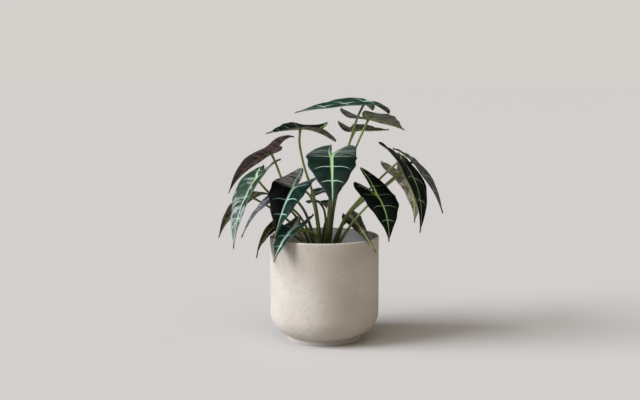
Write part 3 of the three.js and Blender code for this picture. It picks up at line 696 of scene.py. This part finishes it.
# Where a row of the grid lies along the blade; lobe, notch and body have rows of their own
def rowPlace(leaf, row, lobe):
    lobeRows, notchRows, sinus = bladeMake["lobeRows"], bladeMake["notchRows"], leaf["sinus"]
    if row <= lobeRows:
        return -sinus - (lobe - sinus) * (1 - (row / lobeRows) ** bladeMake["rowCrowding"])
    if row <= lobeRows + notchRows:
        return -sinus * (1 - (row - lobeRows) / notchRows)
    return (row - lobeRows - notchRows) / bladeMake["bodyRows"]


# One half of the blade, as a grid laid out by the leaf's proportions
def addHalf(shape, leaf, side, course, ribs):
    columns, rows = bladeMake["columns"], bladeMake["lobeRows"] + bladeMake["notchRows"] + bladeMake["bodyRows"]
    axes, lobe = leafAxes(leaf), lobeLength(leaf, side)
    maps = {}
    for vert in bmesh.ops.create_grid(shape, x_segments=columns, y_segments=rows, size=1)["verts"]:
        column, row = gridCell(vert, columns, rows)
        u, s = (column / columns) ** bladeMake["columnCrowding"], rowPlace(leaf, row, lobe)
        point, rib = bladePoint(leaf, s, u, side)
        vert.co = (axes @ point) * mm
        along = s if s >= 0 else s * 2 * veinStep / leaf["lobe"]
        maps[vert] = ((u * side, along), (rib, along))
    faces = [face for face in shape.faces if face.verts[0] in maps]
    setMaps(faces, course, ribs, maps)
    if side < 0:
        bmesh.ops.reverse_faces(shape, faces=faces)


# How much the underside is raised along the ribs, in millimetres
def ridgeHeight(across, rib, along):
    width, narrowing = bladeMake["mainRidge"]
    nearMain = max(0, 1 - abs(rib) / (width - narrowing * max(0, along)))
    offSide = abs((along + veinStep / 2) % veinStep - veinStep / 2)
    nearSide = max(0, 1 - offSide / bladeMake["sideRidge"]) * (1 - min(1, abs(across)))
    nearSide *= bladeMake["sideRidgeShare"] * (along < bladeMake["lastSide"])
    return bladeMake["ridge"] * max(nearMain ** 0.7 * (1 - 0.75 * max(0, along)), nearSide)


# The halves are joined along the midrib, and the wall gets its thickness from a modifier
def makeBlade(leaf):
    shape = bmesh.new()
    course, ribs = (shape.loops.layers.uv.new(name) for name in ("course", "ribs"))
    for side in (-1, 1):
        addHalf(shape, leaf, side, course, ribs)
    bmesh.ops.remove_doubles(shape, verts=shape.verts, dist=2e-6)
    bmesh.ops.dissolve_degenerate(shape, edges=shape.edges, dist=1e-7)
    shape.normal_update()
    for vert in shape.verts:
        vert.co += vert.normal * bladeMake["thickness"] / 2 * mm
    weight = shape.verts.layers.deform.new("thick")
    full = bladeMake["thickness"] + bladeMake["ridge"]
    for vert in shape.verts:
        loop = vert.link_loops[0]
        vert[weight][0] = (bladeMake["thickness"] + ridgeHeight(loop[course].uv[0], *loop[ribs].uv)) / full
    number = f"{leaf['number']:02d}"
    blade = finishPiece(f"leaf_{number}", shape, leaf["looks"], f"blade_{number}")
    blade.vertex_groups.new(name="thick")
    wall = blade.modifiers.new("wall", "SOLIDIFY")
    wall.thickness = full * mm
    wall.offset = -1
    wall.vertex_group = "thick"
    wall.material_offset = 1
    wall.material_offset_rim = 0


# A smooth line through points, with the spacing of the solids' stalks
def smoothLine(points, steps):
    ends = [points[0] * 2 - points[1], *points, points[-1] * 2 - points[-2]]
    line = []
    for i in range(1, len(ends) - 2):
        a, b, c, d = ends[i - 1:i + 3]
        ab, bc, cd = (max(1e-4, (q - p).length ** 0.5) for p, q in ((a, b), (b, c), (c, d)))
        out = ((b - a) / ab - (c - a) / (ab + bc) + (c - b) / bc) * bc
        into = ((c - b) / bc - (d - b) / (bc + cd) + (d - c) / cd) * bc
        for k in range(steps):
            t = k / steps
            line.append(b * (2 * t ** 3 - 3 * t ** 2 + 1) + out * (t ** 3 - 2 * t ** 2 + t)
                        + c * (-2 * t ** 3 + 3 * t ** 2) + into * (t ** 3 - t ** 2))
    line.append(points[-1])
    return line


def evenLine(line, count):
    lengths = [0.0]
    for a, b in zip(line, line[1:]):
        lengths.append(lengths[-1] + (b - a).length)
    result = []
    j = 0
    for k in range(count + 1):
        goal = lengths[-1] * k / count
        while j < len(line) - 2 and lengths[j + 1] < goal:
            j += 1
        span = lengths[j + 1] - lengths[j] or 1
        result.append(line[j].lerp(line[j + 1], min(1, (goal - lengths[j]) / span)))
    return result


stalkMake = {
    "foot": 120, "low": 2.7, "high": 1.7, "sides": 18, "rings": 64, "steps": 24, "underBlade": 1.2, "groove": 0.32,
    "sheath": 0.9, "sheathEnd": 0.3, "wingAngle": 0.75, "wingWidth": 0.22, "swell": 0.45, "swellFrom": 0.94,
    "roughness": 0.10,
}


# The radius at a share t of the length, with how far the place lies in the sheath's wing: a shallow groove on the
# inner side, open sheath wings near the foot, and a swelling under the blade
def stalkRadius(size, t, around, number):
    radius = size["low"] + (size["high"] - size["low"]) * min(1, t * 1.4)
    radius -= size["groove"] * max(0, math.cos(around)) ** 3 * radius * (1 - t)
    offWing = (abs(math.remainder(around, 2 * math.pi)) - size["wingAngle"]) / size["wingWidth"]
    wing = math.exp(-offWing ** 2) * max(0, 1 - t / size["sheathEnd"]) ** 0.5
    radius += size["sheath"] * wing * min(1, t * 12)
    radius += size["swell"] * max(0, (t - size["swellFrom"]) / (1 - size["swellFrom"])) ** 2
    radius += size["roughness"] * noise.noise(Vector((math.cos(around), math.sin(around), t * 9 + number * 3)))
    return radius, wing


def makeStalk(leaf):
    turn = math.radians(leaf["angle"])
    foot = Vector((leaf["ring"] * math.cos(turn), leaf["ring"] * math.sin(turn), stalkMake["foot"]))
    half = math.radians(leaf["arch"] / 2)
    under = leafAxes(leaf).to_3x3() @ Vector((0, -math.sin(half), math.cos(half)))
    end = Vector(leaf["stalk"]) - under * stalkMake["underBlade"]
    sides, rings = stalkMake["sides"], stalkMake["rings"]
    line = evenLine(smoothLine([foot, *(Vector(p) for p in leaf["via"]), end], stalkMake["steps"]), rings)
    shape = bmesh.new()
    lengthMap, sheathMap = (shape.loops.layers.uv.new(name) for name in ("length", "sheath"))
    bmesh.ops.create_grid(shape, x_segments=sides, y_segments=rings, size=1)

    # frames carried along the line without twist, starting with the groove facing the plant's middle
    tangents = [(line[min(k + 1, rings)] - line[max(k - 1, 0)]).normalized() for k in range(rings + 1)]
    inward = Vector((-math.cos(turn), -math.sin(turn), 0))
    normals = []
    for tangent in tangents:
        inward = (inward - tangent * inward.dot(tangent)).normalized()
        normals.append(inward.copy())
    maps = {}
    for vert in shape.verts:
        column, row = gridCell(vert, sides, rings)
        t, around = row / rings, 2 * math.pi * column / sides
        radius, wing = stalkRadius(stalkMake, t, around, leaf["number"])
        across = normals[row] * math.cos(around) + tangents[row].cross(normals[row]) * math.sin(around)
        vert.co = (line[row] + across * radius) * mm
        maps[vert] = ((column / sides, t), (min(1, wing * 1.2), 0))
    setMaps(shape.faces, lengthMap, sheathMap, maps)
    bmesh.ops.remove_doubles(shape, verts=shape.verts, dist=2e-6)
    bmesh.ops.holes_fill(shape, edges=[e for e in shape.edges if e.is_boundary], sides=0)
    bmesh.ops.recalc_face_normals(shape, faces=shape.faces)
    finishPiece(f"leafstalk_{leaf['number']:02d}", shape, [stalkSkin], f"stalk_{leaf['number']:02d}")


for number, given in enumerate(leaves, 1):
    looks = [leafTops[given["top"]], leafUnders[given["under"]]]
    leaf = {**usualLeaf, **given, "number": number, "looks": looks}
    chord = (Vector(leaf["tip"]) - Vector(leaf["stalk"])).length
    bend = math.radians(leaf["arch"])
    leaf["length"] = chord * bend / 2 / math.sin(bend / 2)
    makeBlade(leaf)
    makeStalk(leaf)
print("leaves and stalks made")

potMake = {
    "radius": 80, "height": 152.5, "wall": 5.5, "floor": 12, "footRadius": 54.5, "footHeight": 6.8,
    "cornerAcross": 34.6, "cornerUp": 35.8, "lipRound": 1.4, "turns": 144, "unevenness": 0.16,
}


# Points along a line or a part of an ellipse, without the first
def linePart(start, end, steps):
    return [tuple(a + (b - a) * i / steps for a, b in zip(start, end)) for i in range(1, steps + 1)]


def ellipsePart(centre, across, up, startAngle, endAngle, steps):
    angles = [startAngle + (endAngle - startAngle) * i / steps for i in range(1, steps + 1)]
    return [(centre[0] + across * math.cos(angle), centre[1] + up * math.sin(angle)) for angle in angles]


def potProfile(size):
    radius, foot, footHeight, lip = size["radius"], size["footRadius"], size["footHeight"], size["lipRound"]
    across, up, quarter = size["cornerAcross"], size["cornerUp"], math.pi / 2
    footAngle = math.acos((foot - radius + across) / across)
    corner = footHeight + up * math.sin(footAngle)
    inner, top = radius - size["wall"], size["height"] - lip
    profile = [(0, 0), (foot * 0.5, 0), (foot - 1.2, 0), (foot - 0.35, 0.35), (foot, 1.2), (foot, footHeight)]
    profile += ellipsePart((radius - across, corner), across, -up, footAngle, 0, 14)
    profile += linePart((radius, corner), (radius, top), 27)
    profile += ellipsePart((radius - lip, top), lip, lip, 0, quarter, 5)
    profile.append((inner + lip, top + lip))
    profile += ellipsePart((inner + lip, top), -lip, lip, quarter, 0, 5)
    profile += linePart((inner, top), (inner, corner), 14)
    profile += ellipsePart((inner - across, corner), across, size["floor"] - corner, 0, quarter, 9)
    return [*profile, (0, size["floor"])]


def spinProfile(profile, turns):
    shape = bmesh.new()
    verts = [shape.verts.new((radius * mm, 0, height * mm)) for radius, height in profile]
    edges = [shape.edges.new(pair) for pair in zip(verts, verts[1:])]
    bmesh.ops.spin(shape, geom=verts + edges, cent=(0, 0, 0), axis=(0, 0, 1), angle=2 * math.pi, steps=turns,
                   use_merge=True)
    bmesh.ops.remove_doubles(shape, verts=shape.verts, dist=1e-6)
    bmesh.ops.dissolve_degenerate(shape, edges=shape.edges, dist=1e-7)
    bmesh.ops.recalc_face_normals(shape, faces=shape.faces)
    return shape


# The wall is slightly uneven, and the flat underside stays as it is
def makePot():
    shape = spinProfile(potProfile(potMake), potMake["turns"])
    shape.normal_update()
    for vert in shape.verts:
        place = vert.co * 1000
        if place.z < 0.1 or place.xy.length < 1:
            continue
        rough = noise.noise(place * 0.045) + 0.35 * noise.noise(place * 0.16)
        vert.co -= vert.normal * (potMake["unevenness"] * (0.6 - 0.5 * rough)) * mm
    finishPiece("stone_pot", shape, [potStone], "pot")


makePot()
print("pot made")

# Below the surface the soil follows the pot; "below" holds (way in from the wall, height)
soilMake = {
    "top": 128, "mound": 3, "rings": 44, "turns": 120, "crumb": 1.1, "gap": 0.4, "bottom": 12.6,
    "below": [(0, 100), (0, 60), (6, 30), (22, 16), (34, 12.6)],
}


def soilHeight(x, y):
    reach = math.hypot(x, y) / (potMake["radius"] - potMake["wall"] - 0.3)
    mound = soilMake["mound"] * max(0, 1 - reach) ** 0.7
    swell = 1.3 * math.sin(x * 0.31 + 1.1) * math.cos(y * 0.27) + 0.8 * math.sin(x * 0.13 - y * 0.44)
    return soilMake["top"] - 1 + mound + swell * min(1, (1 - reach) * 8) + 0.6


def makeSoil():
    wall = potMake["radius"] - potMake["wall"] - soilMake["gap"]
    profile = [(0, soilMake["top"]), *linePart((0, soilMake["top"]), (wall, soilMake["top"]), soilMake["rings"])]
    profile += [(wall - inward, height) for inward, height in soilMake["below"]]
    shape = spinProfile([*profile, (0, soilMake["bottom"])], soilMake["turns"])
    for vert in shape.verts:
        place = vert.co * 1000
        if place.z < soilMake["top"] - 0.5:
            continue
        crumbs = noise.noise(place * 0.42) + 0.6 * noise.noise(place * 1.1)
        edge = min(1, max(0, (wall - place.xy.length) / 4))
        relief = soilMake["crumb"] * crumbs * (0.3 + 0.7 * edge) - 1.2 * (1 - edge)
        vert.co.z = (soilHeight(place.x, place.y) + relief) * mm
    finishPiece("potting_soil", shape, [soilPeat], "soil")


chipMake = {
    "count": 520, "seed": 7, "wallGap": 3, "clear": 20, "size": (0.9, 2.8), "long": (0.8, 1.9), "wide": (0.6, 1.0),
    "thick": (0.3, 0.6), "tilt": 0.5, "lift": 0.25, "ragged": 0.28,
}


# Bark chips lie on the soil around the stalks, clear of the middle
def makeChips(size):
    draw = random.Random(size["seed"])
    shape = bmesh.new()
    wall = potMake["radius"] - potMake["wall"] - size["wallGap"]
    for _ in range(size["count"]):
        reach = wall * draw.random() ** 0.5
        turn = draw.uniform(0, 2 * math.pi)
        x, y = reach * math.cos(turn), reach * math.sin(turn)
        across = draw.uniform(*size["size"])
        if reach < size["clear"]:
            continue
        made = bmesh.ops.create_icosphere(shape, subdivisions=1, radius=1)["verts"]
        shift = Matrix.Translation((x, y, soilHeight(x, y) + size["lift"] * across))
        spin = Matrix.Rotation(draw.uniform(0, 6.3), 4, "Z")
        spin = spin @ Matrix.Rotation(draw.uniform(-size["tilt"], size["tilt"]), 4, "X")
        stretch = Matrix.Diagonal([*(across * draw.uniform(*size[way]) for way in ("long", "wide", "thick")), 1])
        for vert in made:
            vert.co *= 1 + size["ragged"] * draw.uniform(-1, 1)
        bmesh.ops.transform(shape, matrix=Matrix.Scale(mm, 4) @ shift @ spin @ stretch, verts=made)
    bmesh.ops.recalc_face_normals(shape, faces=shape.faces)
    finishPiece("bark_chips", shape, [barkChip], smooth=False)


makeSoil()
makeChips(chipMake)
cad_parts["rootstock"].data.materials.clear()
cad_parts["rootstock"].data.materials.append(rootBark)
print("soil made")

floorLook = {"low": (0.443, 0.424, 0.400), "high": (0.449, 0.430, 0.406), "rough": 0.9, "halfSize": 40}


def makeFloor(look):
    shape = bmesh.new()
    bmesh.ops.create_grid(shape, x_segments=1, y_segments=1, size=look["halfSize"])
    material, tree, shader = newMaterial("paleFloor")
    grain = useGroup(tree, speckle, {"Place": objectPlace(tree), "Scale": 1.5})
    color = blendColor(tree, grain["Broad"], look["low"], look["high"])
    feedNode(tree, shader, {"Base Color": color, "Roughness": look["rough"]})
    addObject("floor", shape, [material])


makeFloor(floorLook)
